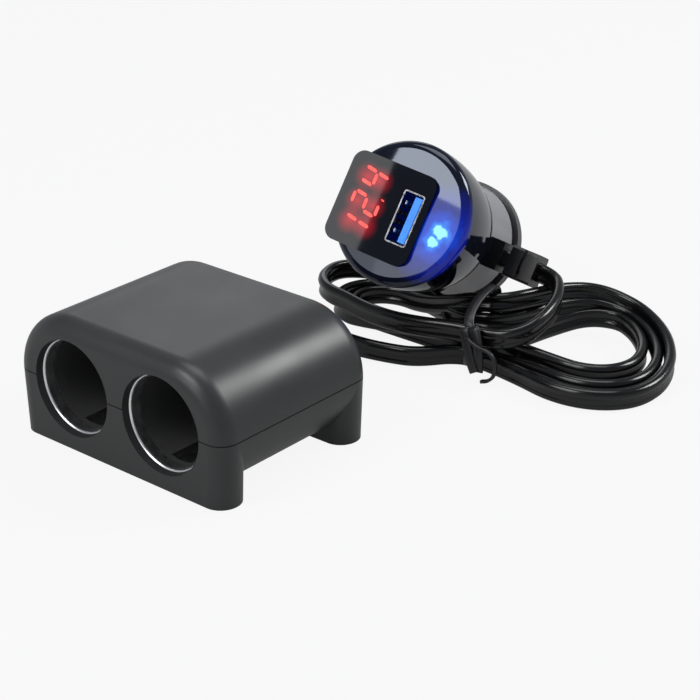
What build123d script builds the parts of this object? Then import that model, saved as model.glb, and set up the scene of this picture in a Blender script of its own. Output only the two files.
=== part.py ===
"""Cigarette lighter socket splitter: a twin socket housing, a tied flat cord and a plug with a meter and a port.

Millimetres. The origin is the middle of the housing's underside on the surface it stands on.
+X runs across the two sockets, the socket mouths look along -Y, +Z is up.
"""
import os
from math import cos, radians, sin, tan

from build123d import *

os.makedirs("parts", exist_ok=True)

# Sockets, with depths measured from the housing's front
socket_spacing = 27.0
bore_radius = 10.5
bore_end = 36.0
floor_inset = 2.5  # the cup's floor is narrower than its bore by this
floor_drop = 3.0
floor_step = 1.0
floor_thickness = 2.0
liner_wall = 1.4
mouth_flare = 0.35
ring_thickness = 3.0
ring_lip_radius = 0.6
seat_gap = 0.1  # between a liner and the saddles that carry it
strip_width = 6.0
strip_thickness = 0.6
strip_start = 6.0
tab_width = 4.0  # flat end of a strip, through the cup's floor
rivet_head_radius = 4.0
rivet_head = 0.8
rivet_radius = 1.6

# Housing, sized round its sockets
wall = 1.6
side_room = 6.1  # from a liner to the housing's side
roof_room = 1.7  # from a liner to the roof's inside
belly_room = 0.3  # from a liner to the belly's inside
rear_room = 6.0  # behind the liners, for the buses and the cord's cores
underside_gap = 1.0  # the tub's belly stands this far above the floor
rim_radius = 4.4  # rounded front and rear rims of both covers
rim_flat = 0.1
seam_height = 0.25  # shadow line round the top cover's lower edge
seam_depth = 0.35
foot_draft = 0.65  # each end of a foot leans in by this much at the floor
rib_set_back = 5.0  # from the saddle rib's front to the end of the bore
rib_thickness = 2.0

# Wiring inside the housing
bus_thickness = 0.6
bus_height = 5.0
bus_overlap = 3.0
web_width = 2.2
tail_radius = 0.8
tail_offset = 1.3
tail_bend = 0.9
tail_stand_off = 1.15

# Screws
screw_radius = 1.1
screw_head_radius = 2.0
screw_head = 1.4
screw_grip = 5.5
screw_gap = 0.05
screw_seat = 3.5
boss_radius = 2.0
boss_height = 7.0
boss_inset = 4.3
tolerance = 0.05

# Housing strain relief
boot_height = 9.5
boot_length = 12.0
boot_flange_radius = 4.4
boot_flange = 1.0
boot_neck_radius = 3.3
boot_end_radius = 3.2
boot_grooves = 4
boot_groove_width = 0.9
boot_groove_depth = 0.7

# Cord
cord_width = 5.0
arc_share = 0.45  # of the shorter run beside a bend, taken by its arc
lead_stub = 4.6

# Plug pose: the barrel's end rim and the cord pile carry it
plug_x = 6.75
plug_y = 63.1
plug_heading = 11.2
plug_tilt = 28.75
plug_roll = -10.8

# Plug radii, and stations measured back from the head's front
head_radius = 17.75
head_face_inset = 2.15
head_crown_drop = 0.0
head_face_drop = 0.9
head_rim_station = 3.4
head_mid_station = 13.0
head_mid_inset = 0.55
head_back_station = 22.4
head_back_inset = 2.35
head_back_step = 1.92
head_wall = 1.6
neck_station = 24.0
neck_radius = 12.5
neck_groove_station = 35.6
neck_groove_width = 0.9
neck_groove_depth = 0.5
collar_station = 39.5
collar_thickness = 3.5
collar_radius = 15.6
collar_edge = 0.8
spigot_radius = 10.6
spigot_gap = 0.1
barrel_radius = 10.3
barrel_end = 55.2
fuse_bore_radius = 3.0

# Plug tip
nut_base_radius = 9.8
nut_end_radius = 6.2
nut_length = 6.3
nut_lip = 1.5
nut_bore_radius = 4.0
pin_travel = 3.5
pin_radius = 2.6
pin_gap = 0.2
pin_flange_radius = 3.7
pin_proud = 6.0
pin_round = 1.82
fuse_radius = 2.6
fuse_length = 20.0
fuse_cap_length = 5.0
fuse_cap_wall = 0.3
stack_gap = 0.1
terminal_thickness = 0.6
spring_space = 8.5
spring_radius = 2.1
spring_wire_radius = 0.3
spring_turns = 6

# Side contacts
contact_width = 4.0
contact_thickness = 0.5
contact_start = 44.5
contact_length = 9.6
contact_proud = 0.8
pocket_depth = 2.0
pocket_gap = 0.2

# Display window and what sits behind it
window_width = 23.5
window_height = 22.7
window_x = -4.35
window_y = -0.78
window_corner = 3.0
window_proud = 0.8
window_back = 2.6
module_width = 9.0
module_height = 16.5
module_depth = 7.0
module_x = -8.0
port_width = 5.8
port_length = 13.1
port_x = 2.75
port_y = -0.86
port_corner = 0.6
port_wall = 0.35
port_gap = 0.05
port_depth = 14.6
tongue_thickness = 1.8
tongue_length = 11.4
tongue_offset = 1.1
tongue_inset = 0.6
port_back = 1.2
pin_pad_width = 1.2
pin_pad_length = 8.5
pin_pad_pitch = 2.3
pin_pad_thickness = 0.15
board_radius = 13.6
board_thickness = 1.2
led_x = 11.2
led_y = -1.5
led_radius = 1.5
led_dome = 1.2
led_length = 5.0
led_lead_radius = 0.4
led_station = 3.4

# Plug strain relief
relief_station = 29.7
relief_block = 7.4
relief_block_end = 17.5
relief_core = 4.6
relief_plate_height = 8.0
relief_plate_width = 6.5
relief_plate_thickness = 3.3
relief_plate_pitch = 4.2
relief_first_plate = 19.5
relief_plate_corner = 0.8
relief_gap = 0.05
relief_overlap = 1.0

# Hank
tie_x = 26.0
tie_y = 69.8
hank_turn = 7.6
waist_width = 16.0
waist_top = 14.5
waist_length = 24.0
waist_round = 2.5
left_lobe_x = -12.5
left_lobe_y = 75.5
left_lobe_radius = 14.0
left_lobe_top = 10.5
left_open_radius = 7.0
left_open_end = 2.4
left_open_reach = 24.0
left_open_rise = 2.2
left_waist = 7.0
right_lobe_x = 46.2
right_lobe_y = 85.5
right_lobe_radius = 20.5
right_lobe_stretch = 6.1
right_lobe_turn = -37.0
right_lobe_top = 8.0
right_lobe_slope = 5.5
right_open_radius = 9.0
right_open_stretch = 5.5
right_open_shift = 3.5
right_waist = 6.0
lobe_clear = 0.02
plug_rest_gap = 0.3
tie_band = 2.4
tie_thickness = 0.8
tie_gap = 0.1
tie_stub_radius = 1.2
tie_stub_length = 3.0
tie_stub_height = 6.0
tie_tail_length = 6.0
tie_tail_width = 1.7
tie_tail_drop = 40.0

# Sizes that follow
liner_radius = bore_radius + liner_wall
floor_radius = bore_radius - floor_inset
floor_depth = bore_end + floor_drop
liner_end = floor_depth + floor_thickness
mouth_inner_radius = bore_radius + mouth_flare
mouth_radius = mouth_inner_radius + mouth_flare
socket_height = underside_gap + wall + belly_room + liner_radius  # socket axis, where the two covers part
housing_height = socket_height + liner_radius + roof_room + wall
housing_width = socket_spacing + 2 * (liner_radius + side_room)
housing_depth = liner_end + rear_room
half_width = housing_width / 2
half_depth = housing_depth / 2
rib_depth = bore_end - rib_set_back
roof_radius = housing_height - socket_height
belly_radius = socket_height - underside_gap
foot_thickness = 2 * rim_radius + rim_flat
ring_back = wall + ring_thickness
sockets = {"left": -socket_spacing / 2, "right": socket_spacing / 2}
bus_back = liner_end + bus_thickness - half_depth
boot_inner = half_depth - wall - boot_flange
screw_x = half_width - boss_inset
screw_y = half_depth - foot_thickness / 2
screw_places = [(x, y) for x in (-screw_x, screw_x) for y in (-screw_y, screw_y)]
head_face_radius = head_radius - head_face_inset
head_mid_radius = head_radius - head_mid_inset
head_back_radius = head_radius - head_back_inset


def keep(builder, name):
    """Label a finished piece and write it under its own name."""
    builder.part.label = name
    export_step(builder.part, f"parts/{name}.step")


def front_plane(depth):
    """Sketch plane facing the socket mouths, at a depth behind the housing's front."""
    return Plane.XZ.offset(half_depth - depth)


def cover_outline(radius, inset, side):
    """Half of the housing's cross-section above (side 1) or below (side -1) the parting line."""
    reach = half_width - radius
    round_radius = radius - inset
    edge = socket_height + side * round_radius
    with BuildSketch(Plane.XY) as outline:
        with BuildLine():
            Line((-reach - round_radius, socket_height), (reach + round_radius, socket_height))
            CenterArc((reach, socket_height), round_radius, 0, side * 90)
            Line((reach, edge), (-reach, edge))
            CenterArc((-reach, socket_height), round_radius, 180, -side * 90)
        make_face()
    return outline.sketch


def rim_edges(part, depth):
    """Edges round the front and rear ends of an arch, above the parting line."""
    upper = part.edges().filter_by_position(Axis.Z, socket_height + tolerance, housing_height + tolerance)
    front = upper.filter_by_position(Axis.Y, -depth - tolerance, -depth + tolerance)
    return front + upper.filter_by_position(Axis.Y, depth - tolerance, depth + tolerance)


# Room for the sockets: tapered mouths in the front wall and round seats behind them
with BuildPart() as socket_room:
    with Locations(*[Location((x, wall / 2 - half_depth, socket_height), (-90, 0, 0)) for x in sockets.values()]):
        Cone(mouth_radius, mouth_inner_radius, wall)
    with BuildSketch(front_plane(wall)):
        with Locations(*[(x, socket_height) for x in sockets.values()]):
            Circle(liner_radius + seat_gap)
    extrude(amount=-(liner_end - wall))

# Top cover
with BuildPart() as roof_hollow:
    with BuildSketch(front_plane(wall)):
        add(cover_outline(roof_radius, wall, 1))
    extrude(amount=-(housing_depth - 2 * wall))
    fillet(rim_edges(roof_hollow, half_depth - wall), rim_radius - wall)

with BuildPart() as top_cover:
    with BuildSketch(front_plane(0)):
        add(cover_outline(roof_radius, 0, 1))
    extrude(amount=-housing_depth)
    fillet(rim_edges(top_cover, half_depth), rim_radius)
    add(roof_hollow.part, mode=Mode.SUBTRACT)
    with BuildSketch(front_plane(rib_depth)):
        add(cover_outline(roof_radius, wall / 2, 1))
    extrude(amount=-rib_thickness)
    with BuildSketch(Plane.XY.offset(socket_height)):
        with Locations(*screw_places):
            Circle(boss_radius)
    extrude(amount=boss_height)
    add(socket_room.part, mode=Mode.SUBTRACT)
    with BuildSketch(Plane.XY.offset(socket_height)):
        with Locations(*screw_places):
            Circle(screw_radius + screw_gap)
    extrude(amount=screw_grip + screw_gap, mode=Mode.SUBTRACT)
    with BuildSketch(Plane.XY.offset(socket_height)):
        Rectangle(2 * housing_width, 2 * housing_depth)
        RectangleRounded(
            housing_width - 2 * seam_depth,
            housing_depth - 2 * seam_depth,
            rim_radius - seam_depth,
            mode=Mode.SUBTRACT,
        )
    extrude(amount=seam_height, mode=Mode.SUBTRACT)
keep(top_cover, "top_cover")

# Bottom cover: a belly between two full-width feet
with BuildPart() as bottom_cover:
    for y in (-screw_y, screw_y):
        with BuildSketch(Plane((0, y, socket_height))):
            RectangleRounded(housing_width, foot_thickness, rim_radius)
        with BuildSketch(Plane((0, y, 0))):
            RectangleRounded(housing_width - 2 * foot_draft, foot_thickness, rim_radius)
        loft(ruled=True)
    with BuildSketch(front_plane(foot_thickness / 2)):
        add(cover_outline(belly_radius, 0, -1))
    extrude(amount=-(housing_depth - foot_thickness))
    with BuildSketch(front_plane(wall)):
        add(cover_outline(belly_radius, wall, -1))
    extrude(amount=-(housing_depth - 2 * wall), mode=Mode.SUBTRACT)
    with BuildSketch(front_plane(rib_depth)):
        add(cover_outline(belly_radius, wall / 2, -1))
    extrude(amount=-rib_thickness)
    with BuildSketch(Plane.XY.offset(screw_seat)):
        with Locations(*screw_places):
            Circle(boss_radius)
    extrude(amount=socket_height - screw_seat)
    add(socket_room.part, mode=Mode.SUBTRACT)
    with BuildSketch(Plane.XY):
        with Locations(*screw_places):
            Circle(screw_radius + screw_gap)
    extrude(amount=socket_height, mode=Mode.SUBTRACT)
    with BuildSketch(Plane.XY):
        with Locations(*screw_places):
            Circle(screw_head_radius + screw_gap)
    extrude(amount=screw_seat, mode=Mode.SUBTRACT)
    with BuildSketch(front_plane(housing_depth - wall)):
        with Locations((0, boot_height)):
            Circle(boot_neck_radius)
    extrude(amount=-wall, mode=Mode.SUBTRACT)
keep(bottom_cover, "bottom_cover")

# Cover screws
with BuildPart() as cover_screws:
    with BuildSketch(Plane.XY.offset(screw_seat - screw_head)):
        with Locations(*screw_places):
            Circle(screw_head_radius)
    extrude(amount=screw_head)
    with BuildSketch(Plane.XY.offset(screw_seat)):
        with Locations(*screw_places):
            Circle(screw_radius)
    extrude(amount=socket_height + screw_grip - screw_seat)
keep(cover_screws, "cover_screws")


strip_middle = bore_radius + strip_thickness / 2


def strip_outline():
    """Two opposite strips let into a bore, above and below its axis."""
    with BuildSketch(Plane.XY) as outline:
        Circle(bore_radius + strip_thickness)
        Circle(bore_radius, mode=Mode.SUBTRACT)
        Rectangle(strip_width, 4 * bore_radius, mode=Mode.INTERSECT)
    return outline.sketch


def tab_outline():
    """The strips' flat ends, above and below a bore's axis."""
    with BuildSketch(Plane.XY) as outline:
        with GridLocations(0, 2 * strip_middle, 1, 2):
            Rectangle(tab_width, strip_thickness)
    return outline.sketch


for side, x in sockets.items():
    socket_axis = Axis((x, 0, socket_height), (0, 1, 0))
    section = Plane((x, -half_depth, socket_height))

    # Socket ring: a rolled metal lip behind the mouth
    with BuildPart() as socket_ring:
        with BuildSketch(section):
            with BuildLine():
                lip = CenterArc((bore_radius + ring_lip_radius, wall + ring_lip_radius), ring_lip_radius, 180, 90)
                Polyline(
                    lip @ 1,
                    (liner_radius, wall),
                    (liner_radius, ring_back),
                    (bore_radius, ring_back),
                    lip @ 0,
                )
            make_face()
        revolve(axis=socket_axis)
    keep(socket_ring, f"{side}_socket_ring")

    # Socket liner: a moulded cup with a stepped floor
    with BuildPart() as socket_liner:
        with BuildSketch(section):
            with BuildLine():
                Polyline(
                    (bore_radius, ring_back),
                    (liner_radius, ring_back),
                    (liner_radius, liner_end),
                    (rivet_radius, liner_end),
                    (rivet_radius, floor_depth),
                    (floor_radius, floor_depth),
                    (floor_radius, floor_depth - floor_step),
                    (bore_radius, bore_end),
                    close=True,
                )
            make_face()
        revolve(axis=socket_axis)
        with BuildSketch(front_plane(strip_start)):
            with Locations((x, socket_height)):
                add(strip_outline())
        extrude(amount=-(bore_end - strip_start), mode=Mode.SUBTRACT)
        with BuildSketch(front_plane(bore_end)):
            with Locations((x, socket_height)):
                add(tab_outline())
        extrude(amount=-(liner_end - bore_end), mode=Mode.SUBTRACT)
    keep(socket_liner, f"{side}_socket_liner")

    # Ground strips
    with BuildPart() as ground_strips:
        with BuildSketch(front_plane(strip_start)):
            with Locations((x, socket_height)):
                add(strip_outline())
        extrude(amount=-(bore_end - strip_start))
        with BuildSketch(front_plane(bore_end)):
            with Locations((x, socket_height)):
                add(tab_outline())
        extrude(amount=-(liner_end - bore_end))
    keep(ground_strips, f"{side}_ground_strips")

    # Centre contact: a rivet through the cup's floor and the positive bus
    with BuildPart() as centre_contact:
        with BuildSketch(section):
            with BuildLine():
                Polyline(
                    (0, floor_depth - rivet_head),
                    (rivet_head_radius, floor_depth - rivet_head),
                    (rivet_head_radius, floor_depth),
                    (rivet_radius, floor_depth),
                    (rivet_radius, liner_end + bus_thickness),
                    (0, liner_end + bus_thickness),
                    close=True,
                )
            make_face()
        revolve(axis=socket_axis)
    keep(centre_contact, f"{side}_centre_contact")

# Positive bus: a flat strip across both rivets
with BuildPart() as positive_bus:
    with BuildSketch(front_plane(liner_end)):
        with Locations((0, socket_height)):
            Rectangle(socket_spacing + 2 * bus_overlap, bus_height)
        with Locations(*[(x, socket_height) for x in sockets.values()]):
            Circle(rivet_radius, mode=Mode.SUBTRACT)
    extrude(amount=-bus_thickness)
keep(positive_bus, "positive_bus")

# Negative bus: two rails on the strips' ends, joined by a web that passes the positive bus
rail_height = 2 * strip_thickness
rail_end = socket_spacing / 2 + strip_width / 2
web_x = rail_end + web_width
with BuildPart() as negative_bus:
    with BuildSketch(front_plane(liner_end)):
        with Locations((web_x, socket_height)):
            Rectangle(web_width, 2 * strip_middle + rail_height)
        for z in (socket_height + strip_middle, socket_height - strip_middle):
            with Locations(((web_x - rail_end) / 2, z)):
                Rectangle(web_x + rail_end, rail_height)
    extrude(amount=-bus_thickness)
keep(negative_bus, "negative_bus")

# Tail leads: the cord's two cores, from the strain relief to the buses
tail_ends = {
    "positive_tail": (-tail_offset, socket_height),
    "negative_tail": (tail_offset, socket_height - strip_middle),
}
bend_y = boot_inner - tail_stand_off
for name, (x, end_height) in tail_ends.items():
    with BuildPart() as tail:
        with BuildLine() as tail_path:
            FilletPolyline(
                (x, boot_inner, boot_height),
                (x, bend_y, boot_height),
                (x, bend_y, end_height),
                (x, bus_back, end_height),
                radius=tail_bend,
            )
        with BuildSketch(Plane((x, boot_inner, boot_height), z_dir=(0, -1, 0))):
            Circle(tail_radius)
        sweep(path=tail_path.wires()[0])
    keep(tail, name)

# Housing strain relief: a ribbed, tapered boot held in the rear wall
boot_end = half_depth + boot_length
with BuildPart() as housing_strain_relief:
    boot_axis = Axis((0, 0, boot_height), (0, 1, 0))
    with BuildSketch(Plane((0, 0, boot_height))):
        with BuildLine():
            Polyline(
                (0, boot_inner),
                (boot_flange_radius, boot_inner),
                (boot_flange_radius, half_depth - wall),
                (boot_neck_radius, half_depth - wall),
                (boot_neck_radius, half_depth),
                (boot_flange_radius, half_depth),
                (boot_end_radius, boot_end),
                (0, boot_end),
                close=True,
            )
        make_face()
    revolve(axis=boot_axis)
    for k in range(boot_grooves):
        share = (k + 1) / (boot_grooves + 1)
        edge = boot_flange_radius + share * (boot_end_radius - boot_flange_radius)
        with BuildSketch(Plane((0, 0, boot_height))):
            with Locations((edge, half_depth + share * boot_length)):
                Rectangle(2 * boot_groove_depth, boot_groove_width)
        revolve(axis=boot_axis, mode=Mode.SUBTRACT)
keep(housing_strain_relief, "housing_strain_relief")

# Plug frame: local z looks out of the head's front, local x across the display
tilt = radians(plug_tilt)
heading = radians(plug_heading)
plug_height = barrel_end * sin(tilt) + barrel_radius * cos(tilt)
outward = Vector(sin(heading) * cos(tilt), -cos(heading) * cos(tilt), sin(tilt))
level = Vector(cos(heading), sin(heading), 0)
plug_plane = Plane(
    origin=(plug_x, plug_y, plug_height),
    x_dir=level.rotate(Axis((0, 0, 0), outward), plug_roll),
    z_dir=outward,
)
plug_axis = Axis(plug_plane.origin, plug_plane.z_dir)
plug_section = Plane(origin=plug_plane.origin, x_dir=plug_plane.x_dir, z_dir=-plug_plane.y_dir)
plug_far_section = Plane(origin=plug_plane.origin, x_dir=-plug_plane.x_dir, z_dir=plug_plane.y_dir)


def plug_level(station):
    """Plane across the plug at a station behind its front."""
    return plug_plane.offset(-station)


def turned(points):
    """Turn a closed outline of (radius, station) points about the plug's axis."""
    with BuildPart() as turning:
        with BuildSketch(plug_section):
            with BuildLine():
                Polyline(*[(radius, -station) for radius, station in points], close=True)
            make_face()
        revolve(axis=plug_axis)
    return turning.part


# Display window: a flat plate with a cut for the port
with BuildPart() as window_block:
    with BuildSketch(plug_level(window_back)):
        with Locations((window_x, window_y)):
            RectangleRounded(window_width, window_height, window_corner)
    extrude(amount=window_back + window_proud)

with BuildPart() as display_window:
    add(window_block.part)
    with BuildSketch(plug_level(window_back)):
        with Locations((port_x, port_y)):
            RectangleRounded(port_width + 2 * port_gap, port_length + 2 * port_gap, port_corner)
    extrude(amount=window_back + window_proud, mode=Mode.SUBTRACT)
keep(display_window, "display_window")


def head_outline(inset):
    """Closed half-outline of the head, drawn inset from its outside."""
    face_middle = (3 * head_crown_drop + head_face_drop) / 4
    with BuildSketch(Plane.XY) as outline:
        with BuildLine():
            crown = ThreePointArc(
                (0, -head_crown_drop - inset),
                (head_face_radius / 2, -face_middle - inset),
                (head_face_radius - inset / 2, -head_face_drop - inset),
            )
            rim = TangentArc(crown @ 1, (head_radius - inset, -head_rim_station - inset / 2), tangent=crown % 1)
            flank = ThreePointArc(
                rim @ 1,
                (head_mid_radius - inset, -head_mid_station),
                (head_back_radius - inset, -head_back_station + inset / 2),
            )
            Polyline(
                flank @ 1,
                (head_back_radius - head_back_step - inset, -neck_station + inset),
                (0, -neck_station + inset),
                crown @ 0,
            )
        make_face()
    return outline.sketch


# Head shell: a glossy bowl, open behind for the barrel's spigot
with BuildPart() as head_shell:
    with BuildSketch(plug_section):
        add(head_outline(0))
    revolve(axis=plug_axis)
    with BuildSketch(plug_section):
        add(head_outline(head_wall))
    revolve(axis=plug_axis, mode=Mode.SUBTRACT)
    with BuildSketch(plug_level(neck_station)):
        Circle(spigot_radius + spigot_gap)
    extrude(amount=2 * head_wall, mode=Mode.SUBTRACT)
    add(window_block.part, mode=Mode.SUBTRACT)
keep(head_shell, "head_shell")

# Display module behind the window
with BuildPart() as display_module:
    with BuildSketch(plug_level(window_back)):
        with Locations((module_x, window_y)):
            Rectangle(module_width, module_height)
    extrude(amount=-module_depth)
keep(display_module, "display_module")

# Port: a thin folded shell, its tongue and the tongue's contacts
with BuildPart() as usb_shell:
    with BuildSketch(plug_level(-window_proud)):
        with Locations((port_x, port_y)):
            RectangleRounded(port_width, port_length, port_corner)
            RectangleRounded(
                port_width - 2 * port_wall,
                port_length - 2 * port_wall,
                port_corner / 2,
                mode=Mode.SUBTRACT,
            )
    extrude(amount=-(port_depth + window_proud))
keep(usb_shell, "usb_shell")

tongue_x = port_x + tongue_offset
with BuildPart() as usb_tongue:
    with BuildSketch(plug_level(port_depth)):
        with Locations((port_x, port_y)):
            RectangleRounded(port_width - 2 * port_wall, port_length - 2 * port_wall, port_corner / 2)
    extrude(amount=port_back)
    with BuildSketch(plug_level(port_depth)):
        with Locations((tongue_x, port_y)):
            Rectangle(tongue_thickness, tongue_length)
    extrude(amount=port_depth + window_proud - tongue_inset)
keep(usb_tongue, "usb_tongue")

with BuildPart() as usb_contacts:
    pad_x = tongue_x - tongue_thickness / 2 - pin_pad_thickness / 2
    with BuildSketch(plug_level(port_depth - port_back)):
        with Locations((pad_x, port_y)):
            with GridLocations(0, pin_pad_pitch, 1, 4):
                Rectangle(pin_pad_thickness, pin_pad_width)
    extrude(amount=pin_pad_length)
keep(usb_contacts, "usb_contacts")

# Circuit board across the head
with BuildPart() as circuit_board:
    with BuildSketch(plug_level(port_depth)):
        Circle(board_radius)
    extrude(amount=-board_thickness)
keep(circuit_board, "circuit_board")

# Indicator lamp on its leads
with BuildPart() as indicator_led:
    with BuildSketch(plug_level(led_station + led_length)):
        with Locations((led_x, led_y)):
            Circle(led_radius)
    extrude(amount=led_length)
    fillet(indicator_led.faces().sort_by(plug_axis)[-1].edges(), led_dome)
    with BuildSketch(plug_level(port_depth)):
        with Locations((led_x, led_y)):
            with GridLocations(led_radius, 0, 2, 1):
                Circle(led_lead_radius)
    extrude(amount=port_depth - led_station - led_length)
keep(indicator_led, "indicator_led")

# Plug strain relief: a block through the neck, then plates on a core
relief_plane = Plane(origin=plug_level(relief_station).origin, x_dir=plug_plane.z_dir, z_dir=plug_plane.x_dir)
relief_root = spigot_radius + spigot_gap
relief_end = relief_first_plate + relief_plate_pitch + relief_plate_thickness

with BuildPart() as relief_hollow:
    with BuildSketch(plug_level(collar_station)):
        Circle(relief_root)
    extrude(amount=collar_station - neck_station)

with BuildPart() as plug_strain_relief:
    with BuildSketch(relief_plane.offset(spigot_radius - relief_overlap)):
        Rectangle(relief_block, relief_block)
    extrude(amount=relief_block_end - spigot_radius + relief_overlap)
    add(relief_hollow.part, mode=Mode.SUBTRACT)
    with BuildSketch(relief_plane.offset(relief_block_end)):
        RectangleRounded(relief_core, relief_core, relief_core / 4)
    extrude(amount=relief_end - relief_block_end)
    for k in range(2):
        with BuildSketch(relief_plane.offset(relief_first_plate + k * relief_plate_pitch)):
            RectangleRounded(relief_plate_width, relief_plate_height, relief_plate_corner)
        extrude(amount=relief_plate_thickness)
keep(plug_strain_relief, "plug_strain_relief")

# Neck ring between the head and the collar
groove_end = neck_groove_station + neck_groove_width
with BuildPart() as neck_ring:
    add(
        turned(
            [
                (relief_root, neck_station),
                (neck_radius, neck_station),
                (neck_radius, neck_groove_station),
                (neck_radius - neck_groove_depth, neck_groove_station),
                (neck_radius - neck_groove_depth, groove_end),
                (neck_radius, groove_end),
                (neck_radius, collar_station),
                (relief_root, collar_station),
            ]
        )
    )
    with BuildSketch(relief_plane):
        Rectangle(relief_block + 2 * relief_gap, relief_block + 2 * relief_gap)
    extrude(amount=relief_block_end, mode=Mode.SUBTRACT)
keep(neck_ring, "neck_ring")

# Stack inside the plug, from the tip back
nut_end = barrel_end + nut_length
lip_station = nut_end - nut_lip
flange_front = lip_station - stack_gap
flange_back = barrel_end + pin_travel + stack_gap
fuse_rear = flange_back - fuse_length
spring_rear = fuse_rear - spring_space
bore_bottom = spring_rear - terminal_thickness
collar_end = collar_station + collar_thickness
spigot_start = neck_station - head_wall
pocket_floor = barrel_radius - pocket_depth
contact_middle = -contact_start - contact_length / 2

# Plug barrel with its collar and spigot
with BuildPart() as plug_barrel:
    add(
        turned(
            [
                (0, spigot_start),
                (spigot_radius, spigot_start),
                (spigot_radius, collar_station),
                (collar_radius, collar_station),
                (collar_radius, collar_end - collar_edge),
                (collar_radius - collar_edge, collar_end),
                (barrel_radius, collar_end),
                (barrel_radius, barrel_end),
                (fuse_bore_radius, barrel_end),
                (fuse_bore_radius, bore_bottom),
                (0, bore_bottom),
            ]
        )
    )
    for plane in (plug_section, plug_far_section):
        with BuildSketch(plane):
            with Locations((barrel_radius, contact_middle)):
                Rectangle(2 * pocket_depth, contact_length + 2 * pocket_gap)
        extrude(amount=contact_width / 2 + pocket_gap, both=True, mode=Mode.SUBTRACT)
keep(plug_barrel, "plug_barrel")

# Side contacts: bowed leaves in the barrel's pockets
crest = barrel_radius + contact_proud
contact_end = -contact_start - contact_length
for name, plane in (("right_side_contact", plug_section), ("left_side_contact", plug_far_section)):
    with BuildPart() as side_contact:
        with BuildSketch(plane):
            with BuildLine():
                outer = ThreePointArc(
                    (pocket_floor + contact_thickness, -contact_start),
                    (crest, contact_middle),
                    (pocket_floor + contact_thickness, contact_end),
                )
                inner = ThreePointArc(
                    (pocket_floor, -contact_start),
                    (crest - contact_thickness, contact_middle),
                    (pocket_floor, contact_end),
                )
                Line(outer @ 0, inner @ 0)
                Line(outer @ 1, inner @ 1)
            make_face()
        extrude(amount=contact_width / 2, both=True)
    keep(side_contact, name)

# Tip nut: a tapered cap that keeps the pin in
with BuildPart() as tip_nut:
    add(
        turned(
            [
                (nut_bore_radius, barrel_end),
                (nut_base_radius, barrel_end),
                (nut_end_radius, nut_end),
                (pin_radius + pin_gap, nut_end),
                (pin_radius + pin_gap, lip_station),
                (nut_bore_radius, lip_station),
            ]
        )
    )
keep(tip_nut, "tip_nut")

# Centre pin with its flange behind the nut's lip
pin_end = nut_end + pin_proud
with BuildPart() as centre_pin:
    add(
        turned(
            [
                (0, flange_back),
                (pin_flange_radius, flange_back),
                (pin_flange_radius, flange_front),
                (pin_radius, flange_front),
                (pin_radius, pin_end),
                (0, pin_end),
            ]
        )
    )
    fillet(centre_pin.faces().sort_by(plug_axis)[0].edges(), pin_round)
keep(centre_pin, "centre_pin")

# Fuse: a glass rod in two metal caps, pushed by the spring against the pin
glass_radius = fuse_radius - fuse_cap_wall
with BuildPart() as fuse_tube:
    add(
        turned(
            [
                (0, flange_back - fuse_cap_wall),
                (glass_radius, flange_back - fuse_cap_wall),
                (glass_radius, fuse_rear + fuse_cap_wall),
                (0, fuse_rear + fuse_cap_wall),
            ]
        )
    )
keep(fuse_tube, "fuse_tube")

with BuildPart() as fuse_caps:
    for end, inward in ((flange_back, -1), (fuse_rear, 1)):
        add(
            turned(
                [
                    (0, end),
                    (fuse_radius, end),
                    (fuse_radius, end + inward * fuse_cap_length),
                    (glass_radius, end + inward * fuse_cap_length),
                    (glass_radius, end + inward * fuse_cap_wall),
                    (0, end + inward * fuse_cap_wall),
                ]
            )
        )
keep(fuse_caps, "fuse_caps")

# Terminal at the bottom of the fuse bore
with BuildPart() as fuse_terminal:
    with BuildSketch(plug_level(spring_rear)):
        Circle(fuse_bore_radius - stack_gap)
    extrude(amount=terminal_thickness)
keep(fuse_terminal, "fuse_terminal")

# Pin spring between the terminal and the fuse
coil_height = spring_space - 2 * spring_wire_radius - stack_gap
coil_start = plug_level(fuse_rear - spring_wire_radius - stack_gap / 2).origin
with BuildPart() as pin_spring:
    with BuildLine() as coil:
        Helix(
            pitch=coil_height / spring_turns,
            height=coil_height,
            radius=spring_radius,
            center=coil_start,
            direction=plug_plane.z_dir,
        )
    with BuildSketch(Plane(coil.edges()[0] @ 0, z_dir=coil.edges()[0] % 0)):
        Circle(spring_wire_radius)
    sweep(path=coil.edges()[0], is_frenet=True)
keep(pin_spring, "pin_spring")

# Cord leads: tubes of straight runs and tangent arcs
relief_mouth = relief_plane.offset(relief_end).origin
housing_route = [
    (0, boot_end, boot_height),
    (0, 40.5, boot_height),
    (0.8, 46.8, 6.6),
    (4.5, 52.5, 3.4),
    (10.5, 55.5, 2.6),
    (17, 58, 2.6),
    (22, 62.2, 3.0),
]
plug_route = [
    tuple(relief_mouth),
    tuple(relief_mouth + lead_stub * plug_plane.x_dir),
    (37.2, 87.4, 15.6),
    (40.2, 81.6, 14.6),
    (41.4, 75.4, 13.3),
    (40.6, 69.4, 11.6),
    (37.0, 66.0, 10.3),
    (32.0, 65.0, 9.7),
]


def cord_tube(route):
    """Sweep the cord's round envelope along a route, with arcs as wide as its runs allow."""
    points = [Vector(p) for p in route]
    runs = [b - a for a, b in zip(points, points[1:])]
    radii = []
    for before, after in zip(runs, runs[1:]):
        half_turn = radians(before.get_angle(after)) / 2
        radii.append(arc_share * min(before.length, after.length) / tan(half_turn))
    with BuildPart() as tube:
        with BuildLine() as path:
            FilletPolyline(*points, radius=radii)
        with BuildSketch(Plane(points[0], z_dir=runs[0])):
            Circle(cord_width / 2)
        sweep(path=path.wires()[0])
    length = path.wires()[0].length
    print("cord radii", [round(r, 1) for r in radii], "length", round(length, 1))
    return tube.part


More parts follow.
